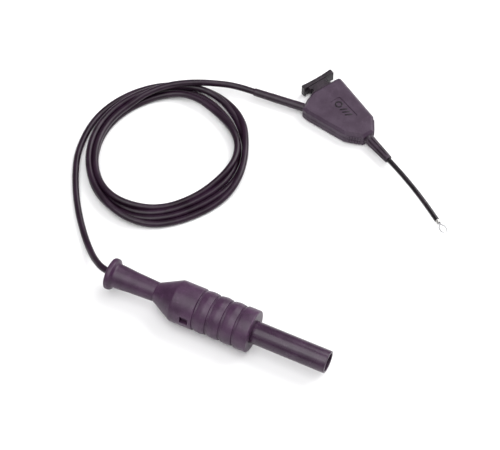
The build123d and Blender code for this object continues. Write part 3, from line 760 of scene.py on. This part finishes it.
# ------------------------------------------------------------------ clip: nose collar
# A tapered rubber collar grips the stem where it leaves the nose.  Flutes run along it, and
# a plain step closes its front end.
collar_root_radius = 1.95 * mm
collar_tip_radius = 1.45 * mm
collar_shank_radius = 1.6 * mm
collar_flange_radius = 2.1 * mm
collar_flange_thick = 1.0 * mm
collar_hole = 0.95 * mm
flute_count = 8
flute_depth = 0.5 * mm
flute_start = 0.6 * mm          # from the nose
flute_stop = 1.1 * mm           # from the collar's front end
flute_fade = 0.9 * mm
flute_skin = (1.2 * mm, 1.4 * mm)       # the flutes fade in here, so the bore stays round

collar_low, collar_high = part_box("nose_collar")
stem_line = Vector((0, 0, (collar_low.z + collar_high.z) / 2))
clip_out = Vector((1, 0, 0))
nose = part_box("clip_top_shell")[1].x
collar_outline = rounded([
    (collar_low.x, collar_hole, 0),
    (collar_low.x, collar_flange_radius, 0.1 * mm),
    (collar_low.x + collar_flange_thick, collar_flange_radius, 0.1 * mm),
    (collar_low.x + collar_flange_thick, collar_shank_radius, 0.1 * mm),
    (nose, collar_shank_radius, 0),
    (nose, collar_root_radius, 0.1 * mm),
] + [
    (
        nose + (collar_high.x - nose) * share,
        collar_root_radius + (collar_tip_radius - collar_root_radius) * share,
        0,
    )
    for share in (0.07, 0.12, 0.17, 0.3, 0.45, 0.6, 0.75, 0.83, 0.88, 0.93)
] + [
    (collar_high.x, collar_tip_radius, 0.3 * mm),
    (collar_high.x, collar_hole, 0.1 * mm),
])
collar = turned("nose_collar_fluted", collar_outline, stem_line, clip_out, segments=128)
collar_rubber = plastic(
    "collar_rubber", (0.012, 0.005, 0.012), (0.040, 0.024, 0.040),
    gloss=0.42, grain=1800, grain_depth=0.04 * mm, rub=0.5, shine=0.4,
)

flutes = Tree("flutes")
flutes_from = flutes.size("from")
flutes_to = flutes.size("to")
flutes_deep = flutes.size("depth")
flutes_many = flutes.size("count")
flutes_height = flutes.size("axis height")
spot = flutes_from.node("GeometryNodeInputPosition")
spot_x, spot_y, spot_z = (
    spot.node("ShaderNodeSeparateXYZ", {}, {0: spot}, axis) for axis in range(3)
)
spot_z = spot_z - flutes_height
waves = spot_y.math("ARCTAN2", spot_z, spot_y) * flutes_many
groove = waves.math("COSINE", waves).between(0.1, 0.95)
begun = spot_x.between(flutes_from, flutes_from + flute_fade)
ended = spot_x.between(flutes_to - flute_fade, flutes_to)
spread = spot_y.math("SQRT", spot_y * spot_y + spot_z * spot_z)
skin = spread.between(*flute_skin)
shrink = 1 - groove * begun * (1 - ended) * skin * flutes_deep * (1 / collar_root_radius)
moved = shrink.node(
    "ShaderNodeCombineXYZ", {},
    {"X": spot_x, "Y": spot_y * shrink, "Z": spot_z * shrink + flutes_height},
)
fluted = shrink.node(
    "GeometryNodeSetPosition", {}, {"Geometry": flutes.geometry(), "Position": moved}
)
flutes.closed(fluted, collar_rubber)
flutes.run(
    collar, **{
        "from": nose + flute_start, "to": collar_high.x - flute_stop, "depth": flute_depth,
        "count": float(flute_count), "axis height": stem_line.z,
    }
)
smoothed(collar.data)
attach(collar, "test_lead")
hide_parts("nose_collar")

# ------------------------------------------------------------------ clip: stem and boot
# The thin stem is a glossy flexible tube.  The boot is a soft sleeve over the cord's root.
stem_plastic = plastic(
    "stem_glossy_plastic", (0.004, 0.002, 0.004), (0.018, 0.011, 0.017),
    gloss=0.24, grain=700, grain_depth=0.04 * mm, rub=0.6, shine=0.4,
)
boot_rubber = plastic(
    "boot_soft_rubber", (0.014, 0.006, 0.013), (0.030, 0.015, 0.029),
    gloss=0.40, grain=2200, grain_depth=0.03 * mm, rub=0.3, shine=0.4,
)


def painted(node, material):
    """Gives a CAD node its finish, in every slot of its mesh."""
    mesh = frame["nodes"][node].data
    if not mesh.materials:
        mesh.materials.append(material)
    for at in range(len(mesh.materials)):
        mesh.materials[at] = material


painted("stem_tube", stem_plastic)
painted("cord_boot", boot_rubber)
painted("clip_cord_end", jacket)
painted("plug_cord_end", jacket)
painted("pin_carrier", shroud_plastic)

# ------------------------------------------------------------------ metal parts
# The tip's ferrule is nickelled brass and the jaws are bright spring-steel wire.  Inside are
# the drive wire, its anchor and spring, the contact strip, and the plug's pin with its cage
# of spring leaves.  The conductors are bunched tinned copper.
drawn_scale = 3500              # features to the metre
tarnish_scale = 260


def metal(name, dark, pale, gloss, drawn=(1, 1, 1), depth=0.01 * mm):
    """A bare metal: faint drawing or turning lines, and a little tarnish."""
    made, shader, grow = finish(name, Metallic=1.0)
    lines = noise(grow, drawn_scale, 2.0, drawn)
    tarnish = noise(grow, tarnish_scale, 4.0).between(0.4, 0.72)
    feed(shader, "Base Color", tarnish.blend(pale, dark))
    feed(shader, "Roughness", gloss + 0.15 * tarnish + 0.08 * (lines - 0.5))
    bumped(grow, shader, lines, 0.4, depth)
    return made


bright_steel = metal("bright_steel", (0.30, 0.30, 0.31), (0.48, 0.48, 0.49), 0.42)
spring_steel = metal("spring_steel", (0.30, 0.30, 0.31), (0.58, 0.58, 0.59), 0.28)
brass = metal("brass", (0.52, 0.37, 0.16), (0.80, 0.62, 0.30), 0.26)
nickel = metal("nickel_plate", (0.36, 0.35, 0.34), (0.58, 0.57, 0.55), 0.34)
copper = metal(
    "tinned_copper", (0.50, 0.30, 0.20), (0.86, 0.60, 0.46), 0.3, drawn=(1, 1, 6), depth=0.04 * mm
)
for node, metal_kind in {
    "tip_ferrule": nickel, "jaw_crimp": bright_steel, "jaw_left": bright_steel,
    "jaw_right": bright_steel, "wire_anchor": brass, "return_spring": spring_steel,
    "drive_wire": bright_steel, "contact_strip": brass, "contact_pin": nickel,
    "pin_lamella": brass, "cord_clamp_ring": brass, "clip_conductor": copper,
    "plug_conductor": copper,
}.items():
    painted(node, metal_kind)
